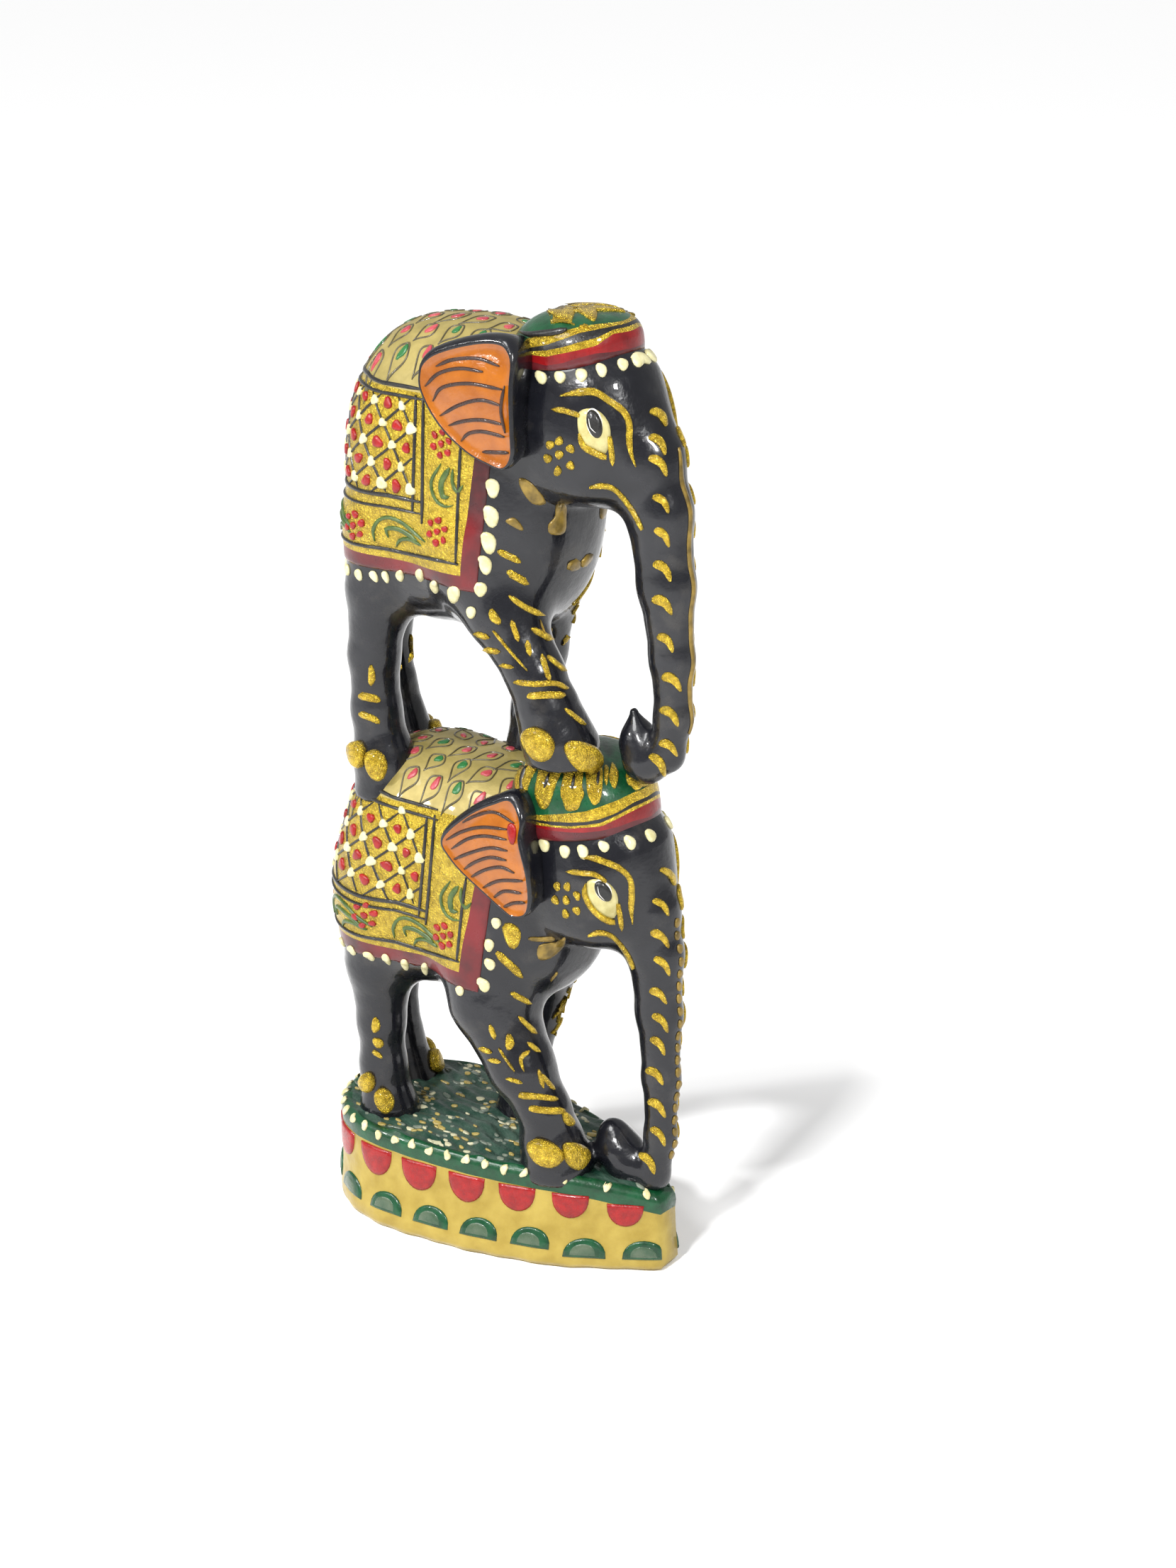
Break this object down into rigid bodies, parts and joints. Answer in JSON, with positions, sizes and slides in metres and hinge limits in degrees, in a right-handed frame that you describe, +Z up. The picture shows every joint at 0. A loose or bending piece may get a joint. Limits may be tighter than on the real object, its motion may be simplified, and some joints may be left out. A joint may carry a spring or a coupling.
{
  "type": "carved wooden elephant stack figurine",
  "caption": "Carved wooden figurine of one walking elephant standing on the back of another on a leaf-shaped plinth, with painted saddle cloths, caps and ears",
  "frame": {"origin": "middle of the plinth underside", "axes": "+Z up, the elephants face +X, their right side is -Y"},
  "size_m": [0.0669, 0.0328, 0.1524],
  "materials": {
    "black_enamel": "wood under glossy blue-black enamel",
    "cap_paint": "wood under gold, green and red enamel",
    "ear_paint": "wood under glossy orange enamel",
    "plinth_paint": "wood under gold and green enamel"
  },
  "bodies": {
    "root": {"base_plinth": "plinth_paint", "lower_body": "black_enamel", "lower_head": "black_enamel", "lower_cap": "cap_paint", "lower_trunk": "black_enamel", "lower_trunk_tip": "black_enamel", "lower_tail": "black_enamel", "lower_left_ear": "ear_paint", "lower_right_ear": "ear_paint", "lower_front_right_leg": "black_enamel", "lower_front_left_leg": "black_enamel", "lower_hind_right_leg": "black_enamel", "lower_hind_left_leg": "black_enamel", "upper_body": "black_enamel", "upper_head": "black_enamel", "upper_cap": "cap_paint", "upper_trunk": "black_enamel", "upper_trunk_tip": "black_enamel", "upper_tail": "black_enamel", "upper_left_ear": "ear_paint", "upper_right_ear": "ear_paint", "upper_front_right_leg": "black_enamel", "upper_front_left_leg": "black_enamel", "upper_hind_right_leg": "black_enamel", "upper_hind_left_leg": "black_enamel"}
  },
  "joints": []
}
